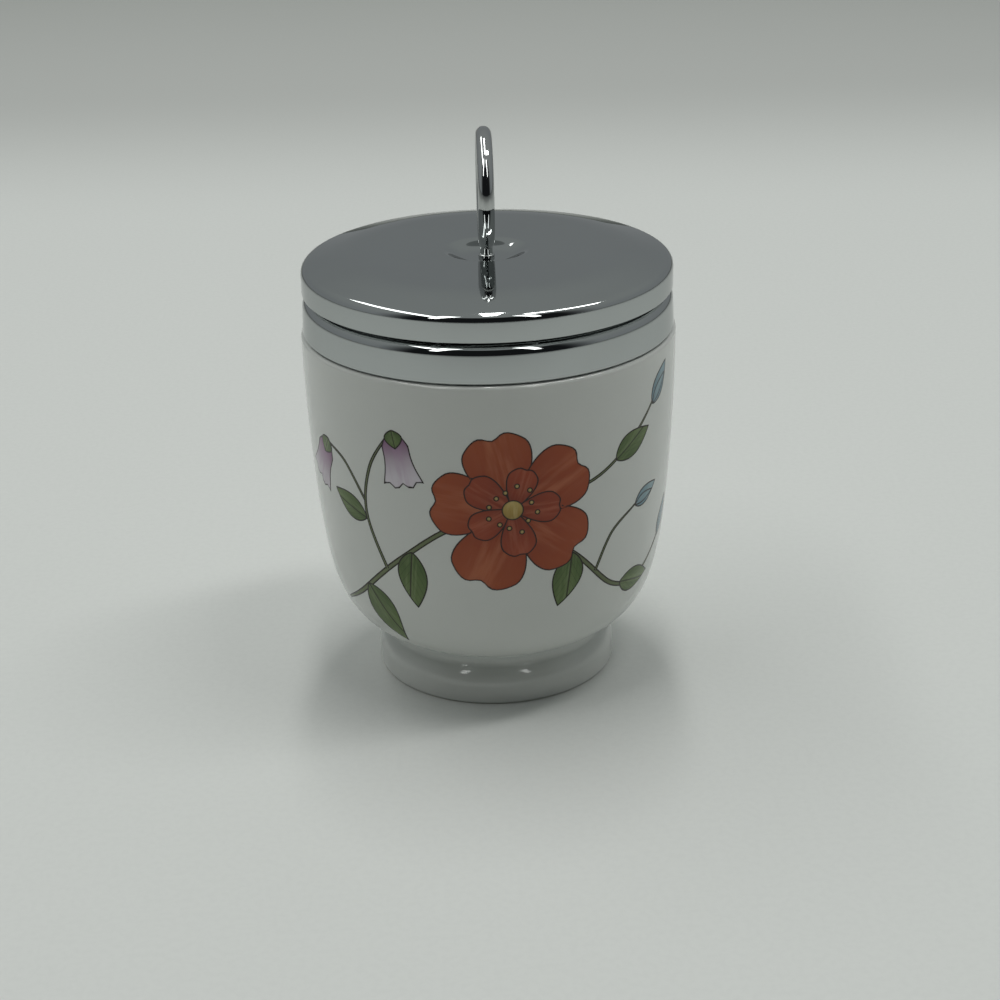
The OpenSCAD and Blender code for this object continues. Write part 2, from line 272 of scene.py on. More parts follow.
def new_material(name, metallic=0.0, **sockets):
    """A material with a Principled shader, and its tree and shader."""
    material = bpy.data.materials.new(name)
    material.use_nodes = True
    tree = material.node_tree
    shader = tree.nodes["Principled BSDF"]
    shader.inputs["Metallic"].default_value = metallic
    for socket, value in sockets.items():
        shader.inputs[socket.replace("_", " ")].default_value = value
    return material, tree, shader


# The glaze's skin: a slow swell as it flowed in the kiln, and a few pinpricks.
swell_scale = 90.0
prick_scale = 420.0
prick_core = 0.03
prick_edge = 0.08
prick_height = 0.05
cloud_scale = 35.0
skin_relief = 0.02 * MM

glaze_skin, skin_in, skin_out = effect_group(
    "glaze skin",
    [("Vector", "NodeSocketVector", None), ("Swell size", "NodeSocketFloat", swell_scale)],
    [("Height", "NodeSocketFloat"), ("Cloud", "NodeSocketFloat")],
)
swell = node(
    glaze_skin,
    "ShaderNodeTexNoise",
    {"Vector": skin_in.outputs["Vector"], "Scale": skin_in.outputs["Swell size"], "Detail": 1.5},
)
pricks = node(
    glaze_skin,
    "ShaderNodeTexVoronoi",
    {"Vector": skin_in.outputs["Vector"], "Scale": prick_scale},
)
prick_depth = between(glaze_skin, pricks.outputs["Distance"], prick_core, prick_edge)
prick_share = between(glaze_skin, pricks.outputs["Color"], 0.08, 0.09)
prick = math_node(glaze_skin, "MAXIMUM", prick_depth, prick_share)
raised_prick = math_node(glaze_skin, "MULTIPLY", prick, prick_height)
skin_height = math_node(glaze_skin, "ADD", swell.outputs["Fac"], raised_prick)
cloud = node(
    glaze_skin,
    "ShaderNodeTexNoise",
    {"Vector": skin_in.outputs["Vector"], "Scale": cloud_scale, "Detail": 3.0},
)
glaze_skin.links.new(skin_height, skin_out.inputs["Height"])
glaze_skin.links.new(cloud.outputs["Fac"], skin_out.inputs["Cloud"])


def glazed(tree, shader):
    """Gives a glazed surface its skin, and returns the skin's node and the place it reads."""
    place = node(tree, "ShaderNodeTexCoord").outputs["Object"]
    skin = node(tree, "ShaderNodeGroup", node_tree=glaze_skin)
    tree.links.new(place, skin.inputs["Vector"])
    bump = node(tree, "ShaderNodeBump", {"Height": skin.outputs["Height"], "Distance": skin_relief})
    tree.links.new(bump.outputs["Normal"], shader.inputs["Normal"])
    return skin, place


dim_white = (0.645, 0.662, 0.632)
bright_white = (0.675, 0.690, 0.658)
pooled_white = (0.62, 0.68, 0.65)
bare_white = (0.74, 0.70, 0.63)
pool_below = 1.2 * MM
pool_above = 1.6 * MM
pool_share = 0.5
bare_z = 0.10 * MM
glazed_z = 0.25 * MM
glazed_roughness = 0.08
bare_roughness = 0.6

porcelain, tree, shader = new_material("white porcelain", Roughness=glazed_roughness, IOR=1.52)
skin, place = glazed(tree, shader)
height = node(tree, "ShaderNodeSeparateXYZ", {"Vector": place}).outputs["Z"]
body_white = mixed(tree, skin.outputs["Cloud"], dim_white, bright_white)
pooled = math_node(
    tree,
    "MULTIPLY",
    between(tree, height, foot_h - pool_below, foot_h),
    between(tree, height, foot_h + pool_above, foot_h),
)
pooled = math_node(tree, "MULTIPLY", pooled, pool_share)
glazed_white = mixed(tree, pooled, body_white, pooled_white)
bare = between(tree, height, glazed_z, bare_z)
tree.links.new(mixed(tree, bare, glazed_white, bare_white), shader.inputs["Base Color"])
roughness = between(tree, height, glazed_z, bare_z, glazed_roughness, bare_roughness)
tree.links.new(roughness, shader.inputs["Roughness"])

cup = piece("cup_body", *turned(cup_outline()), porcelain)
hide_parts("cup")
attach(cup, "cup")

# ---------------------------------------------------------------- The printed spray
# Enamel colours printed on the bowl and fired in: coral blossoms, mauve bells, blue
# buds and green leaves on a trailing stem, with dark outlines. Each colour is a film.

PRINT_ROOT = 0.04 * MM
HALFWAY_ROOT = 4 * PRINT_ROOT
MIDDLE_ROOT = 5 * PRINT_ROOT
LINE_W = 0.22
TINY = 1e-9
OUTLINE_STEPS = 56
ROUTE_STEPS = 10
FILM_STEP = 0.7 * MM
STEM_FILM = 0.014 * MM
LEAF_FILM = 0.018 * MM
PETAL_FILM = 0.021 * MM
FILM_LAYER = 0.0012 * MM
TOP_FILM = PETAL_FILM + 6 * FILM_LAYER


def on_bowl(azimuth, z, u, v, film):
    """A point of the bowl's surface, u to the right and v above a motif's middle."""
    high = z + v
    radius = side_radius(high)
    turn = math.radians(azimuth) + u / radius
    reach = radius + film
    return (reach * math.sin(turn), -reach * math.cos(turn), high)


def edge_distance(point, outline):
    """Shortest distance from a flat point to a closed outline."""
    best = 1.0
    for a, b in zip(outline, outline[1:] + outline[:1]):
        ab = (b[0] - a[0], b[1] - a[1])
        length = max(ab[0] ** 2 + ab[1] ** 2, TINY**2)
        share = ((point[0] - a[0]) * ab[0] + (point[1] - a[1]) * ab[1]) / length
        share = min(1.0, max(0.0, share))
        best = min(best, math.dist(point, (a[0] + ab[0] * share, a[1] + ab[1] * share)))
    return best


class Film:
    """All the patches of one colour: closed films that follow the bowl."""

    def __init__(self):
        self.points, self.faces, self.places = [], [], []

    def patch(self, azimuth, z, outline, tilt, length, film, tone):
        """One shape, drawn about a motif's middle: x across and y along it, tilted."""
        cos_t, sin_t = math.cos(tilt), math.sin(tilt)
        width = max(abs(x) for x, y in outline)
        centre = (0.0, 0.5 * length)
        count = len(outline)
        first = len(self.points)

        def add(x, y, depth):
            self.points.append(
                on_bowl(azimuth, z, x * cos_t - y * sin_t, x * sin_t + y * cos_t, depth)
            )
            edge = edge_distance((x, y), outline) / MM
            self.places.append((y / length, 0.5 + 0.5 * x / width, min(1.0, edge), tone))

        def add_ring(share, depth):
            for x, y in outline:
                add(centre[0] + (x - centre[0]) * share, centre[1] + (y - centre[1]) * share, depth)

        reach = max(math.dist(point, centre) for point in outline)
        rings = max(4, math.ceil(reach / FILM_STEP))
        add(*centre, film)
        for ring in range(1, rings + 1):
            add_ring(ring / rings, film)
        add_ring(1.0, -PRINT_ROOT)
        add_ring(0.5, -HALFWAY_ROOT)
        add(*centre, -MIDDLE_ROOT)
        last = first + 1 + (rings + 2) * count
        for k in range(count):
            n = (k + 1) % count
            self.faces.append((first, first + 1 + k, first + 1 + n))
            for i in range(rings + 1):
                a = first + 1 + i * count
                self.faces.append((a + k, a + count + k, a + count + n, a + n))
            a = first + 1 + (rings + 1) * count
            self.faces.append((a + k, last, a + n))

    def ribbon(self, route, width, film, tone):
        """A stem: a closed strip along a route of (azimuth, z, width share)."""
        first = len(self.points)
        strip = [(x, film) for x in (-1.0, -0.5, 0.0, 0.5, 1.0)]
        strip += [(x, -PRINT_ROOT) for x in (-1.0, 1.0)]
        count = len(route)
        for i, (azimuth, z, share) in enumerate(route):
            before, after = route[max(i - 1, 0)], route[min(i + 1, count - 1)]
            run_u = math.radians(after[0] - before[0]) * side_radius(z)
            run_v = after[1] - before[1]
            run = max(math.hypot(run_u, run_v), TINY)
            half = 0.5 * width * share
            for x, depth in strip:
                u, v = -half * x * run_v / run, half * x * run_u / run
                self.points.append(on_bowl(azimuth, z, u, v, depth))
                edge = half * (1 - abs(x)) / MM
                self.places.append((i / count, 0.5 + 0.5 * x, edge, tone))
        stride = len(strip)
        loop = [0, 1, 2, 3, 4, 6, 5]
        for i in range(count - 1):
            a = first + i * stride
            for k, n in zip(loop, loop[1:] + loop[:1]):
                self.faces.append((a + k, a + n, a + stride + n, a + stride + k))
        self.faces.append([first + k for k in reversed(loop)])
        self.faces.append([first + (count - 1) * stride + k for k in loop])

    def printed(self, name, material):
        """The finished object, with each point's place in its shape as a colour."""
        made = piece(name, self.points, self.faces, material)
        place = made.data.color_attributes.new("place", "FLOAT_COLOR", "POINT")
        for i, value in enumerate(self.places):
            place.data[i].color = value
        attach(made, "cup")
        return made


# Brushwork in the print: fine strokes along each shape, and the dark outline.
strokes_across = 9.0
strokes_along = 1.6
stroke_shift = 37.0
stroke_low = 0.35
stroke_high = 0.68
line_inner = 0.6
line_outer = 1.3

brushwork, brush_in, brush_out = effect_group(
    "brushwork",
    [("Strokes", "NodeSocketFloat", strokes_across), ("Line width", "NodeSocketFloat", LINE_W)],
    [
        ("Stroke", "NodeSocketFloat"),
        ("Line", "NodeSocketFloat"),
        ("Along", "NodeSocketFloat"),
        ("Across", "NodeSocketFloat"),
        ("Tone", "NodeSocketFloat"),
    ],
)
drawn = node(brushwork, "ShaderNodeVertexColor", layer_name="place")
drawn_parts = node(brushwork, "ShaderNodeSeparateColor", {"Color": drawn.outputs["Color"]})
along, across, edge = (drawn_parts.outputs[k] for k in ("Red", "Green", "Blue"))
stroke_place = node(
    brushwork,
    "ShaderNodeCombineXYZ",
    {
        "X": math_node(brushwork, "MULTIPLY", across, brush_in.outputs["Strokes"]),
        "Y": math_node(brushwork, "MULTIPLY", along, strokes_along),
        "Z": math_node(brushwork, "MULTIPLY", drawn.outputs["Alpha"], stroke_shift),
    },
)
strokes = node(
    brushwork, "ShaderNodeTexNoise", {"Vector": stroke_place.outputs[0], "Scale": 1.0, "Detail": 3.0}
)
line = node(
    brushwork,
    "ShaderNodeMapRange",
    {
        "Value": edge,
        "From Min": math_node(brushwork, "MULTIPLY", brush_in.outputs["Line width"], line_inner),
        "From Max": math_node(brushwork, "MULTIPLY", brush_in.outputs["Line width"], line_outer),
        "To Min": 1.0,
        "To Max": 0.0,
    },
)
for socket, value in (
    ("Stroke", between(brushwork, strokes.outputs["Fac"], stroke_low, stroke_high)),
    ("Line", line.outputs["Result"]),
    ("Along", along),
    ("Across", across),
    ("Tone", drawn.outputs["Alpha"]),
):
    brushwork.links.new(value, brush_out.inputs[socket])


line_colour = (0.020, 0.013, 0.011)
tone_share = 0.35
vein_count = 6.0
vein_edge = 0.05
vein_core = 0.02
vein_share = 0.55
rib_edge = 0.035
rib_core = 0.015
rib_share = 0.8


def enamel(name, root, tip, pale, pale_share=0.5, veins=False):
    """Printed enamel that shades from root to tip, with pale strokes and an outline."""
    material, tree, shader = new_material(name, Roughness=0.10, IOR=1.36)
    brush = node(tree, "ShaderNodeGroup", node_tree=brushwork)
    fill = mixed(tree, between(tree, brush.outputs["Along"], 0.05, 0.9), root, tip)
    toned = mixed(tree, math_node(tree, "MULTIPLY", brush.outputs["Tone"], tone_share), fill, root)
    middle = math_node(
        tree,
        "MULTIPLY",
        between(tree, brush.outputs["Across"], 0.12, 0.5),
        between(tree, brush.outputs["Across"], 0.9, 0.55),
    )
    lit = math_node(tree, "MULTIPLY", brush.outputs["Stroke"], middle)
    colour = mixed(tree, math_node(tree, "MULTIPLY", lit, pale_share), toned, pale)
    if veins:
        off_axis = math_node(
            tree, "ABSOLUTE", math_node(tree, "SUBTRACT", brush.outputs["Across"], 0.5)
        )
        rib = between(tree, off_axis, rib_edge, rib_core)
        slant = math_node(tree, "SUBTRACT", brush.outputs["Along"], off_axis)
        wave = math_node(tree, "PINGPONG", math_node(tree, "MULTIPLY", slant, vein_count), 0.5)
        vein = math_node(tree, "MULTIPLY", between(tree, wave, vein_edge, vein_core), vein_share)
        drawn_dark = math_node(tree, "MULTIPLY", math_node(tree, "MAXIMUM", rib, vein), rib_share)
        colour = mixed(tree, drawn_dark, colour, line_colour)
    colour = mixed(tree, brush.outputs["Line"], colour, line_colour)
    tree.links.new(colour, shader.inputs["Base Color"])
    glazed(tree, shader)
    return material


coral = enamel("coral enamel", (0.28, 0.045, 0.014), (0.36, 0.078, 0.026), (0.55, 0.19, 0.09))
coral_deep = enamel(
    "deep coral enamel", (0.22, 0.032, 0.012), (0.34, 0.062, 0.024), (0.50, 0.15, 0.08)
)
mauve = enamel(
    "mauve enamel", (0.20, 0.075, 0.170), (0.70, 0.66, 0.71), (0.44, 0.28, 0.42), pale_share=0.4
)
blue = enamel("blue enamel", (0.14, 0.24, 0.29), (0.25, 0.37, 0.41), (0.46, 0.57, 0.60))
green = enamel(
    "leaf green enamel", (0.075, 0.125, 0.035), (0.13, 0.19, 0.065), (0.26, 0.33, 0.15), veins=True
)
stem_green = enamel("stem green enamel", (0.12, 0.15, 0.07), (0.14, 0.17, 0.08), (0.28, 0.32, 0.17))
gold = enamel("straw enamel", (0.34, 0.22, 0.05), (0.52, 0.38, 0.12), (0.68, 0.55, 0.26))

draw = random.Random(11)


def loop_of(shape):
    """Points of a closed outline, from a function of the turn."""
    return [shape(math.tau * i / OUTLINE_STEPS) for i in range(OUTLINE_STEPS)]


def petal_outline(length, width, notch):
    """A broad petal that narrows to its foot, with a notch in its tip."""
    foot_share = 0.30
    full_at = 0.8
    notch_w = 0.22 * width

    def at(turn):
        x, y = math.sin(turn), 0.5 - 0.5 * math.cos(turn)
        spread = foot_share + (1 - foot_share) * min(1.0, y / full_at)
        x *= width * spread * (1.05 - 0.12 * y)
        y -= notch * math.exp(-((x / notch_w) ** 2)) * max(0.0, y - 0.5) * 2
        return (x, y * length)

    return loop_of(at)


def pointed_outline(length, width, sway=0.0, belly=0.42):
    """A leaf or bud: two curved sides that meet in a point, swayed to one side."""
    bias = math.log(0.5) / math.log(belly)

    def at(turn):
        y = 0.5 - 0.5 * math.cos(turn)
        side = 1.0 if turn < math.pi else -1.0
        full = max(0.0, math.sin(math.pi * y**bias)) ** 0.9
        return (side * width * full + sway * length * y * y, y * length)

    return loop_of(at)


def bell_outline(length, width):
    """A hanging bell: a round shoulder, a slight waist and a flared, scalloped mouth."""
    shoulder_y = 0.28
    waist_y = 0.45
    waist_share = 0.62
    mouth_y = 0.93
    scallop_y = 0.8
    scallop_h = 0.055
    scallops = 3

    def at(turn):
        y = 0.5 - 0.5 * math.cos(turn)
        side = 1.0 if turn < math.pi else -1.0
        shoulder = min(1.0, y / shoulder_y) ** 0.55
        flared = max(0.0, (y - waist_y) / (1 - waist_y)) ** 1.7
        flare = waist_share + (1 - waist_share) * flared
        mouth = 1.0 if y < mouth_y else max(0.0, (1 - y) / (1 - mouth_y)) ** 0.5
        x = side * width * shoulder * flare * mouth
        scallop = scallop_h * math.cos(scallops * math.pi * x / width) if y > scallop_y else 0.0
        return (x, (y - scallop * (y - scallop_y) / (1 - scallop_y)) * length)

    return loop_of(at)


def round_outline(radius):
    """A round dot that starts at its foot."""
    return loop_of(lambda turn: (radius * math.sin(turn), radius * (1 - math.cos(turn))))


def curve_through(stops):
    """A smooth route through (azimuth, z, width share) stops."""
    route = []
    for i in range(len(stops) - 1):
        p0, p1 = stops[max(i - 1, 0)], stops[i]
        p2, p3 = stops[i + 1], stops[min(i + 2, len(stops) - 1)]
        for k in range(ROUTE_STEPS):
            t = k / ROUTE_STEPS
            route.append(
                tuple(
                    0.5
                    * (
                        2 * b
                        + (c - a) * t
                        + (2 * a - 5 * b + 4 * c - d) * t * t
                        + (3 * b - a - 3 * c + d) * t**3
                    )
                    for a, b, c, d in zip(p0, p1, p2, p3)
                )
            )
    return [*route, stops[-1]]


petals, inner_petals, bells, buds, leaves, stems, hearts = (Film() for _ in range(7))
PETALS = 5
PETAL_TURN = 360 / PETALS
SEEDS = 12
SEED_TURN = 360 / SEEDS
SEED_START = 10
INNER_SHARE = 0.56
HEART_SHARE = 0.12
SEED_SHARE = 0.032


def blossom(azimuth, z, radius, turn):
    """A coral blossom: five broad petals, five small ones, and a straw-coloured heart."""
    z, radius = z * MM, radius * MM
    for k in range(PETALS):
        tilt = math.radians(turn + PETAL_TURN * k + draw.uniform(-5, 5))
        length = radius * draw.uniform(0.93, 1.05)
        outline = petal_outline(length, 0.50 * length, 0.10)
        petals.patch(azimuth, z, outline, tilt, length, PETAL_FILM + k * FILM_LAYER, draw.random())
    for k in range(PETALS):
        tilt = math.radians(turn + PETAL_TURN * (k + 0.5) + draw.uniform(-6, 6))
        length = INNER_SHARE * radius * draw.uniform(0.92, 1.08)
        outline = petal_outline(length, 0.42 * length, 0.05)
        film = PETAL_FILM + (k + PETALS + 1) * FILM_LAYER
        inner_petals.patch(azimuth, z, outline, tilt, length, film, draw.random())
    heart = HEART_SHARE * radius
    film = PETAL_FILM + (2 * PETALS + 3) * FILM_LAYER
    hearts.patch(azimuth, z - heart, round_outline(heart), 0.0, 2 * heart, film, 0.4)
    for k in range(SEEDS):
        turn_k = math.radians(SEED_TURN * k + SEED_START)
        reach = radius * draw.uniform(0.21, 0.29)
        seed = SEED_SHARE * radius
        u, v = reach * math.sin(turn_k), reach * math.cos(turn_k) - seed
        across = azimuth + math.degrees(u / side_radius(z))
        hearts.patch(across, z + v, round_outline(seed), 0.0, 2 * seed, film, draw.random())


def leaf(azimuth, z, length, tilt, sway, width):
    """One leaf that grows from a point on a stem."""
    length *= MM
    outline = pointed_outline(length, width * length, sway)
    leaves.patch(azimuth, z * MM, outline, math.radians(tilt), length, LEAF_FILM, draw.random())


def bell(azimuth, z, length, tilt):
    """A mauve bell that hangs from its stalk's end, with a small green cap."""
    z, length, tilt = z * MM, length * MM, math.radians(tilt)
    outline = bell_outline(length, 0.42 * length)
    bells.patch(azimuth, z, outline, tilt, length, PETAL_FILM, draw.random())
    cap = 0.34 * length
    outline = pointed_outline(cap, 0.52 * cap)
    leaves.patch(azimuth, z, outline, tilt, cap, TOP_FILM, draw.random())


def bud(azimuth, z, length, tilt):
    """A closed blue bud: a pointed body with a second petal folded over it."""
    z, length, tilt = z * MM, length * MM, math.radians(tilt)
    outline = pointed_outline(length, 0.24 * length, 0.0, 0.4)
    buds.patch(azimuth, z, outline, tilt, length, PETAL_FILM, draw.random())
    fold = 0.8 * length
    outline = pointed_outline(fold, 0.15 * fold, 0.14, 0.45)
    buds.patch(azimuth, z, outline, tilt, fold, TOP_FILM, draw.random())


def stem(stops, width=0.9):
    """A stem through stops of (azimuth, height in mm, width share)."""
    route = curve_through([(azimuth, z * MM, share) for azimuth, z, share in stops])
    stems.ribbon(route, width * MM, STEM_FILM, draw.random())


def spray(face):
    """One whole spray, centred on the azimuth that it faces."""

    def a(azimuth):
        return face + azimuth

    stem([(a(-64), 16, 0.6), (a(-50), 20, 1), (a(-30), 28.5, 1), (a(-12), 35, 1), (a(6), 37, 1)])
    stem([(a(6), 37, 1), (a(26), 29, 1), (a(42), 21.5, 1), (a(57), 20.5, 0.8), (a(70), 25, 0.6)])
    stem([(a(-36), 26, 0.9), (a(-42), 35, 0.8), (a(-39), 43, 0.8), (a(-31), 49.2, 0.6)], 0.75)
    stem([(a(-42), 37, 0.8), (a(-50), 42.5, 0.8), (a(-59), 44.5, 0.6)], 0.7)
    stem([(a(6), 38, 0.9), (a(32), 41, 0.8), (a(48), 46, 0.8), (a(57), 50, 0.6)], 0.75)
    stem([(a(34), 25, 0.8), (a(40), 31, 0.8), (a(50), 34, 0.6)], 0.7)
    leaf(a(-46), 22, 11, -150, 0.12, 0.27)
    leaf(a(-26), 30, 10, 172, -0.14, 0.26)
    leaf(a(25), 29.5, 9.5, 176, 0.14, 0.27)
    leaf(a(40), 43, 8.5, -60, 0.12, 0.26)
    leaf(a(46), 21, 8.5, -105, -0.12, 0.26)
    leaf(a(-42), 34, 8, 74, 0.12, 0.26)
    bell(a(-30), 50, 9.2, 190)
    bell(a(-58.5), 45, 9.5, 150)
    bud(a(57), 49.5, 7.5, -38)
    bud(a(70), 24.6, 7, -20)
    bud(a(50), 33.8, 6.5, -70)
    blossom(a(6), 38, 14, 14)


spray(0)
spray(180)
petals.printed("print_petals", coral)
inner_petals.printed("print_inner_petals", coral_deep)
bells.printed("print_bells", mauve)
buds.printed("print_buds", blue)
leaves.printed("print_leaves", green)
stems.printed("print_stems", stem_green)
hearts.printed("print_hearts", gold)

# ---------------------------------------------------------------- The neck's cement
# Plaster cement, poured between the metal collar and the porcelain neck to fix them
# together. It fills the gap, and none of it shows on the whole object.


def grained(tree, shader, scale, detail, dark, pale):
    """Gives a plain surface a fine grain between two colours, and returns the grain."""
    place = node(tree, "ShaderNodeTexCoord").outputs["Object"]
    grain = node(tree, "ShaderNodeTexNoise", {"Vector": place, "Scale": scale, "Detail": detail})
    tree.links.new(mixed(tree, grain.outputs["Fac"], dark, pale), shader.inputs["Base Color"])
    return grain.outputs["Fac"]


def roughened(tree, shader, height, depth):
    """Gives a surface a bump of a height and depth."""
    bump = node(tree, "ShaderNodeBump", {"Height": height, "Distance": depth})
    tree.links.new(bump.outputs["Normal"], shader.inputs["Normal"])


def finished(name, material):
    """Gives a piece that keeps its own solid its material."""
    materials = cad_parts[name].data.materials
    materials.clear()
    materials.append(material)


cement, tree, shader = new_material("neck cement", Roughness=0.9)
grit = grained(tree, shader, 900.0, 4.0, (0.50, 0.48, 0.44), (0.66, 0.64, 0.60))
roughened(tree, shader, grit, 0.04 * MM)
finished("neck_cement", cement)

# ---------------------------------------------------------------- The collar
# Pressed from thin sheet and plated: a curled lower edge on the ledge, a band, a
# rounded shoulder and a neck with a little over one turn of thread. It is cemented on.

lid_low, lid_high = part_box("lid_shell")
lid_r = lid_high.x
skirt_z = lid_low.z

collar_t = 0.6 * MM
band_foot_r = collar_high.x
shoulder_r = 1.7 * MM
skirt_gap = 0.35 * MM
shoulder_z = skirt_z - skirt_gap
band_top_z = shoulder_z - shoulder_r
curl_z = ledge_z + collar_t
thread_root_r = 27.25 * MM
thread_crest_r = 27.95 * MM
thread_pitch = 1.8 * MM
ridge_root_w = 0.95 * MM
ridge_crest_w = 0.4 * MM
ridge_room = 0.05 * MM
ridge_embed = 0.1 * MM
ridge_stub = 0.15
ridge_fade = math.radians(30)
RIDGE_STEPS = 90


def ridge(root_r, crest_r, z, start, turns):
    """A helical thread ridge on a wall: it fades in and out at its two ends."""
    points, faces = [], []
    side = 1 if crest_r > root_r else -1
    steps = int(turns * RIDGE_STEPS)
    for i in range(steps + 1):
        angle = turns * math.tau * i / steps
        from_end = min(angle, turns * math.tau - angle)
        height = min(1.0, ridge_stub + (1 - ridge_stub) * from_end / ridge_fade)
        crest = root_r + (crest_r - root_r) * height
        middle = z + thread_pitch * angle / math.tau
        turn = angle + start
        for r, half in (
            (root_r - side * ridge_embed, ridge_root_w / 2),
            (crest, ridge_crest_w / 2),
        ):
            for end in (-1, 1):
                points.append((r * math.cos(turn), r * math.sin(turn), middle + end * half))
    loop = (0, 2, 3, 1) if side > 0 else (0, 1, 3, 2)
    for i in range(steps):
        for a, b in zip(loop, loop[1:] + loop[:1]):
            faces.append((4 * i + a, 4 * i + b, 4 * i + 4 + b, 4 * i + 4 + a))
    faces.append(tuple(reversed(loop)))
    faces.append(tuple(4 * steps + k for k in loop))
    return points, faces


def joined(*parts):
    """Vertices and faces of several closed forms as one."""
    points, faces = [], []
    for part_points, part_faces in parts:
        first = len(points)
        points += part_points
        faces += [[first + k for k in face] for face in part_faces]
    return points, faces


def collar_outline():
    """Closed half section of the collar's sheet."""
    outline = arc(band_foot_r - collar_t, curl_z, collar_t, 90, 360, 3 * ROUND_STEPS)
    outline += arc(lid_r - shoulder_r, band_top_z, shoulder_r, 0, 90, 2 * ROUND_STEPS)
    outline += [
        (thread_root_r, shoulder_z),
        (thread_root_r, collar_top_z),
        (thread_root_r - collar_t, collar_top_z),
        (thread_root_r - collar_t, shoulder_z - collar_t),
    ]
    outline += arc(lid_r - shoulder_r, band_top_z, shoulder_r - collar_t, 90, 0)
    return outline


# Use on bright plating: hairline scratches in three directions, a haze of wiping,
# and a few pits, as a height, a haze and a tarnish mask.
hair_stretch = 28.0
hair_low = 0.66
hair_high = 0.72
hair_depth = 0.3
wipe_scale = 55.0
wipe_low = 0.42
wipe_high = 0.72
pit_scale = 300.0
pit_edge = 0.16
pit_core = 0.08

plating_use, use_in, use_out = effect_group(
    "plating use",
    [("Vector", "NodeSocketVector", None), ("Amount", "NodeSocketFloat", 1.0)],
    [("Height", "NodeSocketFloat"), ("Haze", "NodeSocketFloat"), ("Pits", "NodeSocketFloat")],
)
hairlines = None
for heading, size in ((0.4, 60.0), (1.5, 75.0), (2.5, 50.0)):
    turned_place = node(
        plating_use,
        "ShaderNodeMapping",
        {
            "Vector": use_in.outputs["Vector"],
            "Rotation": (0.0, 0.0, heading),
            "Scale": (1.0, hair_stretch, 1.0),
        },
    )
    noise = node(
        plating_use,
        "ShaderNodeTexNoise",
        {"Vector": turned_place.outputs[0], "Scale": size, "Detail": 5.0, "Roughness": 0.7},
    )
    hair = between(plating_use, noise.outputs["Fac"], hair_low, hair_high)
    hairlines = hair if hairlines is None else math_node(plating_use, "MAXIMUM", hairlines, hair)
wiped = node(
    plating_use,
    "ShaderNodeTexNoise",
    {"Vector": use_in.outputs["Vector"], "Scale": wipe_scale, "Detail": 4.0},
)
pits = node(
    plating_use, "ShaderNodeTexVoronoi", {"Vector": use_in.outputs["Vector"], "Scale": pit_scale}
)
pit = math_node(
    plating_use,
    "MULTIPLY",
    between(plating_use, pits.outputs["Distance"], pit_edge, pit_core),
    between(plating_use, pits.outputs["Color"], 0.965, 0.975),
)
pit = math_node(plating_use, "MULTIPLY", pit, use_in.outputs["Amount"])
haze = between(plating_use, wiped.outputs["Fac"], wipe_low, wipe_high)
haze = math_node(plating_use, "MULTIPLY", haze, use_in.outputs["Amount"])
depth = math_node(plating_use, "MULTIPLY", hairlines, hair_depth)
depth = math_node(plating_use, "ADD", depth, pit)
plating_use.links.new(math_node(plating_use, "MULTIPLY", depth, -1.0), use_out.inputs["Height"])
plating_use.links.new(haze, use_out.inputs["Haze"])
plating_use.links.new(pit, use_out.inputs["Pits"])


edge_tint = (0.8, 0.8, 0.8, 1.0)
haze_share = 0.35
plate_roughness = 0.035
haze_roughness = 0.05
pit_roughness = 0.4
pit_colour = (0.16, 0.15, 0.14)
scratch_relief = 0.002 * MM


def plated(name, colour, dull, amount):
    """Bright plating, with its use in roughness, tint and a shallow bump."""
    material, tree, shader = new_material(name, metallic=1.0)
    shader.inputs["Specular Tint"].default_value = edge_tint
    place = node(tree, "ShaderNodeTexCoord").outputs["Object"]
    use = node(tree, "ShaderNodeGroup", {"Amount": amount}, node_tree=plating_use)
    tree.links.new(place, use.inputs["Vector"])
    hazed = math_node(tree, "MULTIPLY", use.outputs["Haze"], haze_share)
    tinted = mixed(tree, hazed, colour, dull)
    tree.links.new(mixed(tree, use.outputs["Pits"], tinted, pit_colour), shader.inputs["Base Color"])
    rough = math_node(tree, "MULTIPLY", use.outputs["Haze"], haze_roughness)
    rough = math_node(tree, "ADD", rough, plate_roughness)
    pitted = math_node(tree, "MULTIPLY", use.outputs["Pits"], pit_roughness)
    tree.links.new(math_node(tree, "ADD", rough, pitted), shader.inputs["Roughness"])
    roughened(tree, shader, use.outputs["Height"], scratch_relief)
    return material


chrome = plated("plated chrome", (0.445, 0.467, 0.466), (0.405, 0.423, 0.420), 1.0)

collar_ridge_margin = ridge_root_w / 2 + ridge_room
collar_ridge_z = shoulder_z + collar_ridge_margin
collar_ridge_turns = (collar_top_z - shoulder_z - 2 * collar_ridge_margin) / thread_pitch
collar = piece(
    "collar_band",
    *joined(
        turned(collar_outline(), closed=True),
        ridge(thread_root_r, thread_crest_r, collar_ridge_z, 0.0, collar_ridge_turns),
    ),
    chrome,
)
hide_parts("collar")
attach(collar, "cup")

# ---------------------------------------------------------------- The sealing ring
# A flat ring of pale rubber, cut from sheet. It is pressed between the porcelain rim and
# the lid, and rises with the lid without turning with it.

seal_rubber, tree, shader = new_material("seal rubber", Roughness=0.7)
bloom = grained(tree, shader, 260.0, 4.0, (0.50, 0.47, 0.40), (0.60, 0.57, 0.50))
roughened(tree, shader, bloom, 0.01 * MM)
finished("lid_seal", seal_rubber)

# ---------------------------------------------------------------- The screw lid
# Spun from sheet and plated: a flat crown with a sloped margin, a round edge, a short
# threaded skirt, and a small dish pressed in the middle for the ring to stand in.

seal_low, seal_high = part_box("lid_seal")
seal_land_z = seal_high.z
ring_low, ring_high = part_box("lifting_ring")

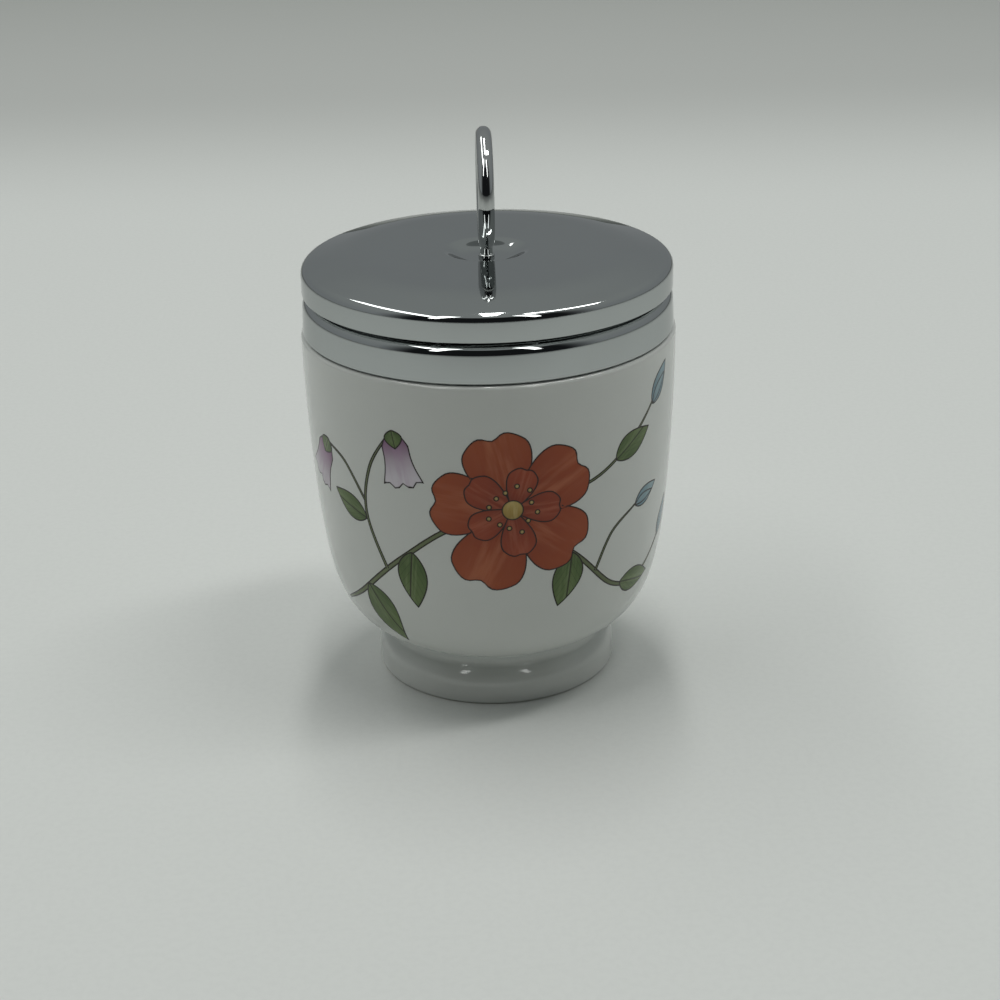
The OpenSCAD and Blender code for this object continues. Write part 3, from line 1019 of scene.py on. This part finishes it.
skirt_t = 0.85 * MM
lid_t = 0.8 * MM
lid_edge_r = 1.4 * MM
skirt_edge_r = 0.35 * MM
crown_slope = 12.5
plateau_r = 19.5 * MM
crown_blend = 5.0 * MM
dish_r = 7.0 * MM
dish_depth = 1.3 * MM
dish_floor_r = 2.0 * MM
dish_crowding = 1.6
fixing_bore_r = 0.9 * MM
seal_land_w = 2.4 * MM
land_in_r = -seal_low.x - seal_land_w
lid_crest_r = 27.4 * MM
DISH_STEPS = 40
CROWN_STEPS = 24

slope = math.radians(crown_slope)
edge_centre = (lid_r - lid_edge_r, seal_land_z + lid_t - lid_edge_r)
margin_r = edge_centre[0] + lid_edge_r * math.sin(slope)
margin_z = edge_centre[1] + lid_edge_r * math.cos(slope)
crown_arc_r = crown_blend / math.sin(slope)
plateau_z = (
    margin_z
    + (margin_r - plateau_r - crown_blend) * math.tan(slope)
    + crown_arc_r * (1 - math.cos(slope))
)
dish_z = plateau_z - dish_depth


def crown_line(drop):
    """Crown from the fixing bore out to the margin, lowered by drop."""
    line = [(fixing_bore_r, dish_z - drop)]
    for i in range(DISH_STEPS + 1):
        share = i / DISH_STEPS
        rise = dish_depth * (1 - math.cos(math.pi * share**dish_crowding)) / 2
        line.append((dish_floor_r + (dish_r - dish_floor_r) * share, dish_z + rise - drop))
    crown_arc_z = plateau_z - crown_arc_r
    blend = arc(plateau_r, crown_arc_z, crown_arc_r, 90, 90 - crown_slope, CROWN_STEPS)
    return line + [(r, z - drop) for r, z in blend]


def crown_z(r):
    """Height of the crown at radius r, outside the dish."""
    if r > plateau_r + crown_blend:
        return margin_z + (margin_r - r) * math.tan(slope)
    return plateau_z - crown_arc_r + math.sqrt(crown_arc_r**2 - max(0.0, r - plateau_r) ** 2)


def lid_outline():
    """Closed half section of the lid's shell."""
    outline = crown_line(0.0)
    outline += arc(*edge_centre, lid_edge_r, 90 - crown_slope, 0, 2 * ROUND_STEPS)
    outline += arc(lid_r - skirt_edge_r, skirt_z + skirt_edge_r, skirt_edge_r, 0, -90, SMALL_STEPS)
    outline += [
        (lid_r - skirt_t, skirt_z),
        (lid_r - skirt_t, seal_land_z),
        (land_in_r, seal_land_z),
        (land_in_r, crown_z(land_in_r) - lid_t),
    ]
    return outline + [point for point in crown_line(lid_t)[::-1] if point[0] < land_in_r]


lid_ridge_z = skirt_z + collar_ridge_margin
lid_ridge_turns = (seal_land_z - skirt_z - 2 * collar_ridge_margin) / thread_pitch
lid_ridge_start = math.tau * (lid_ridge_z - collar_ridge_z + thread_pitch / 2) / thread_pitch
lid = piece(
    "lid_cap",
    *joined(
        turned(lid_outline()[::-1], closed=True),
        ridge(lid_r - skirt_t, lid_crest_r, lid_ridge_z, lid_ridge_start, lid_ridge_turns),
    ),
    chrome,
)
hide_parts("lid_shell")
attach(lid, "lid")

# ---------------------------------------------------------------- The lifting ring
# Round wire bent to a ring and brazed to a turned stem, plated with it. The stem's
# shank goes through the dish and is peened over a washer under the lid.

wire_r = 1.225 * MM
ring_centre_z = ring_high.z - (ring_high.y - ring_low.y) / 2
ring_mid_r = ring_high.z - ring_centre_z - wire_r
ring_turn = math.radians(1.5)
stem_waist_r = 0.95 * MM
stem_foot_r = 1.25 * MM
stem_foot_h = 0.5 * MM
stem_edge_r = 0.2 * MM
stem_flare_r = 0.93 * wire_r
stem_sink = 0.3 * MM
shank_r = 0.85 * MM
peen_r = 1.7 * MM
peen_h = 0.6 * MM
washer_low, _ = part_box("rivet_washer")
RING_STEPS = 160
WIRE_STEPS = 40
FLARE_STEPS = 12


def ring_wire():
    """The ring as a torus that stands on edge, turned a little about the upright."""
    points, faces = [], []
    for i in range(RING_STEPS):
        around = math.tau * i / RING_STEPS
        for k in range(WIRE_STEPS):
            turn = math.tau * k / WIRE_STEPS
            reach = ring_mid_r + wire_r * math.cos(turn)
            x, y = wire_r * math.sin(turn), reach * math.cos(around)
            z = ring_centre_z + reach * math.sin(around)
            points.append(
                (
                    x * math.cos(ring_turn) - y * math.sin(ring_turn),
                    x * math.sin(ring_turn) + y * math.cos(ring_turn),
                    z,
                )
            )
            this, after = i * WIRE_STEPS, (i + 1) % RING_STEPS * WIRE_STEPS
            n = (k + 1) % WIRE_STEPS
            faces.append((this + k, this + n, after + n, after + k))
    return points, faces


def stem_outline():
    """Half section of the stem, from the peened head up into the ring's wire."""
    washer_z = washer_low.z
    stem_top_z = ring_centre_z - ring_mid_r - stem_sink
    waist_z = dish_z + 2 * stem_foot_h
    outline = [(0.0, washer_z - peen_h)]
    for degrees in range(15, 91, 15):
        turn = math.radians(degrees)
        outline.append((peen_r * math.sin(turn), washer_z - peen_h * math.cos(turn)))
    outline += [(shank_r, washer_z), (shank_r, dish_z), (stem_foot_r, dish_z)]
    foot_top_z = dish_z + stem_foot_h
    outline += arc(stem_foot_r - stem_edge_r, foot_top_z - stem_edge_r, stem_edge_r, 0, 90, 4)
    foot_top = (stem_foot_r - stem_edge_r, foot_top_z)
    outline += bend(foot_top, (stem_waist_r, foot_top_z), (stem_waist_r, waist_z), SMALL_STEPS)[1:]
    for i in range(1, FLARE_STEPS + 1):
        share = i / FLARE_STEPS
        flare = stem_waist_r + (stem_flare_r - stem_waist_r) * share * share
        outline.append((flare, waist_z + (stem_top_z - waist_z) * share))
    return outline + [(0.0, stem_top_z)]


ring_chrome = plated("ring chrome", (0.48, 0.495, 0.49), (0.50, 0.51, 0.50), 0.8)
ring = piece("ring_and_stem", *joined(ring_wire(), turned(stem_outline())), ring_chrome)
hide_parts("lifting_ring")
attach(ring, "lid")

# ---------------------------------------------------------------- The rivet's washer
# A plain steel washer, punched from sheet, that the peened shank holds under the dish.
# Only the open lid's underside shows it.

washer_steel, tree, shader = new_material("washer steel", metallic=1.0)
grain = grained(tree, shader, 1400.0, 3.0, (0.40, 0.40, 0.39), (0.55, 0.55, 0.54))
tree.links.new(between(tree, grain, 0.3, 0.7, 0.28, 0.42), shader.inputs["Roughness"])
finished("rivet_washer", washer_steel)

# ---------------------------------------------------------------- The set
# A pale table with painted shade that darkens it out of view, two strip lamps and a long lamp above,
# two windows that only the shine shows, and a dark space in front that the metal mirrors.

floor_w = 8.0
table_near = (0.625, 0.645, 0.622)
table_far_shade = (0.455, 0.470, 0.450)
table_farther_shade = (0.36, 0.38, 0.35)
table_outer_shade = (0.33, 0.34, 0.33)
table_speck = (0.40, 0.41, 0.40)
far_y = 0.27
far_end_y = 0.46
farther_y = 0.40
farther_end_y = 1.1
view_half_w = 0.05
beyond_start = 0.13
beyond_end = 0.55

floor_mesh = bpy.data.meshes.new("table")
half_w = floor_w / 2
floor_mesh.from_pydata(
    [(-half_w, -half_w, 0), (half_w, -half_w, 0), (half_w, half_w, 0), (-half_w, half_w, 0)],
    [],
    [(0, 1, 2, 3)],
)
floor = bpy.data.objects.new("table", floor_mesh)
bpy.context.scene.collection.objects.link(floor)

table_top, tree, shader = new_material("table top", Roughness=0.75)
place = node(tree, "ShaderNodeTexCoord").outputs["Object"]
across, back, _ = node(tree, "ShaderNodeSeparateXYZ", {"Vector": place}).outputs
# Painted shade: the table's colour darkens far behind the cup, to the sides and in front, in place
# of the lamps' light falling off.
far_shade_mask = between(tree, back, far_y, far_end_y)
farther_shade_mask = between(tree, back, farther_y, farther_end_y)
surface = mixed(tree, far_shade_mask, table_near, table_far_shade)
surface = mixed(tree, farther_shade_mask, surface, table_farther_shade)
beside = math_node(tree, "SUBTRACT", math_node(tree, "ABSOLUTE", across), view_half_w)
nearer = math_node(tree, "MULTIPLY", back, -1.0)
outer_shade_mask = between(tree, math_node(tree, "MAXIMUM", beside, nearer), beyond_start, beyond_end)
surface = mixed(tree, outer_shade_mask, surface, table_outer_shade)
fleck = node(tree, "ShaderNodeTexNoise", {"Vector": place, "Scale": 900.0, "Detail": 2.0})
speck = math_node(tree, "MULTIPLY", between(tree, fleck.outputs["Fac"], 0.35, 0.7), 0.06)
tree.links.new(mixed(tree, speck, surface, table_speck), shader.inputs["Base Color"])
floor_mesh.materials.append(table_top)

lamp_z = 1.14
lamp_colour = (1.0, 1.0, 0.985)


def soft_lamp(name, x, y, size, turn, power, glint_only=False):
    """A rectangular lamp that faces straight down, turned about the upright."""
    data = bpy.data.lights.new(name, "AREA")
    data.shape = "RECTANGLE"
    data.size, data.size_y = size
    data.energy = power
    data.color = lamp_colour
    lamp = bpy.data.objects.new(name, data)
    lamp.location = (x, y, lamp_z)
    lamp.rotation_euler.z = math.radians(turn)
    lamp.visible_diffuse = not glint_only
    bpy.context.scene.collection.objects.link(lamp)


soft_lamp("left strip", -0.60, 0.17, (0.18, 1.60), 0.0, 4.2)
soft_lamp("right strip", 0.57, -0.01, (0.70, 0.16), 24.0, 3.5)
soft_lamp("lamp above", 0.01, 0.20, (0.09, 0.80), 0.0, 4.1)
soft_lamp("left window", -0.64, -0.88, (0.17, 1.20), -36.0, 2.9, glint_only=True)
soft_lamp("right window", 0.58, -0.93, (0.15, 1.20), 32.0, 2.6, glint_only=True)

wall_low = (0.283, 0.300, 0.306)
wall_high = (0.320, 0.338, 0.334)
front_dark = (0.012, 0.013, 0.014)
seen_room = (0.36, 0.375, 0.36)

world = bpy.data.worlds.new("room")
bpy.context.scene.world = world
world.use_nodes = True
tree = world.node_tree
sky = tree.nodes["Background"]
direction = node(tree, "ShaderNodeTexCoord").outputs["Generated"]
toward = node(tree, "ShaderNodeSeparateXYZ", {"Vector": direction})
forward = math_node(tree, "MULTIPLY", toward.outputs["Y"], -1.0)
aside = math_node(tree, "ARCTAN2", toward.outputs["X"], forward)
front = between(tree, math_node(tree, "ABSOLUTE", aside), 1.3, 0.8)
low = between(tree, toward.outputs["Z"], 0.84, 0.78)
dark = math_node(tree, "MULTIPLY", front, low)
walls = mixed(tree, between(tree, toward.outputs["Z"], 0.2, 0.7), wall_low, wall_high)
room = mixed(tree, dark, walls, front_dark)
seen = node(tree, "ShaderNodeLightPath").outputs["Is Camera Ray"]
tree.links.new(mixed(tree, seen, room, seen_room), sky.inputs["Color"])

camera_data = bpy.data.cameras.new("camera")
camera_data.sensor_width = 36.0
camera_data.lens = 72.0
camera_data.clip_start = 0.01
camera = bpy.data.objects.new("camera", camera_data)
camera.location = (0.00116, -0.3006, 0.1578)
camera_pitch = 0.4098
camera_roll = -0.0245
camera.rotation_mode = "QUATERNION"
looking = Vector((0.0, math.cos(camera_pitch), -math.sin(camera_pitch)))
camera.rotation_quaternion = looking.to_track_quat("-Z", "Y") @ Quaternion((0, 0, 1), camera_roll)
bpy.context.scene.collection.objects.link(camera)
bpy.context.scene.camera = camera
bpy.context.scene.view_settings.view_transform = "Standard"
